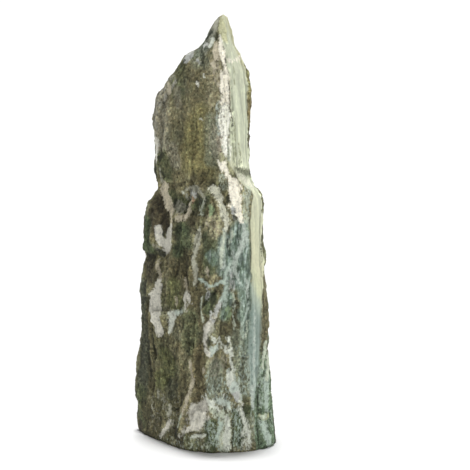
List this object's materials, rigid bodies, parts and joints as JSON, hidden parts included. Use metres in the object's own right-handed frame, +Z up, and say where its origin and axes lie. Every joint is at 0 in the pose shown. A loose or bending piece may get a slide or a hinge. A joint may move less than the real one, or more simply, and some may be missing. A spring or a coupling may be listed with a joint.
{
  "type": "stone monolith",
  "caption": "Tall natural stone pillar of green and white veined schist, tapering to a broken tip and sawn flat underneath to stand free.",
  "frame": {"origin": "on the sawn flat base, near its middle", "axes": "+Z up along the stone from the base to the tip, +X to the right of the front view, +Y away from the viewer"},
  "size_m": [0.4095, 0.3164, 1.2],
  "materials": {
    "schist": "rough split rock, matte, olive green with white and pale green veins"
  },
  "bodies": {
    "root": {"monolith": "schist"}
  },
  "joints": []
}
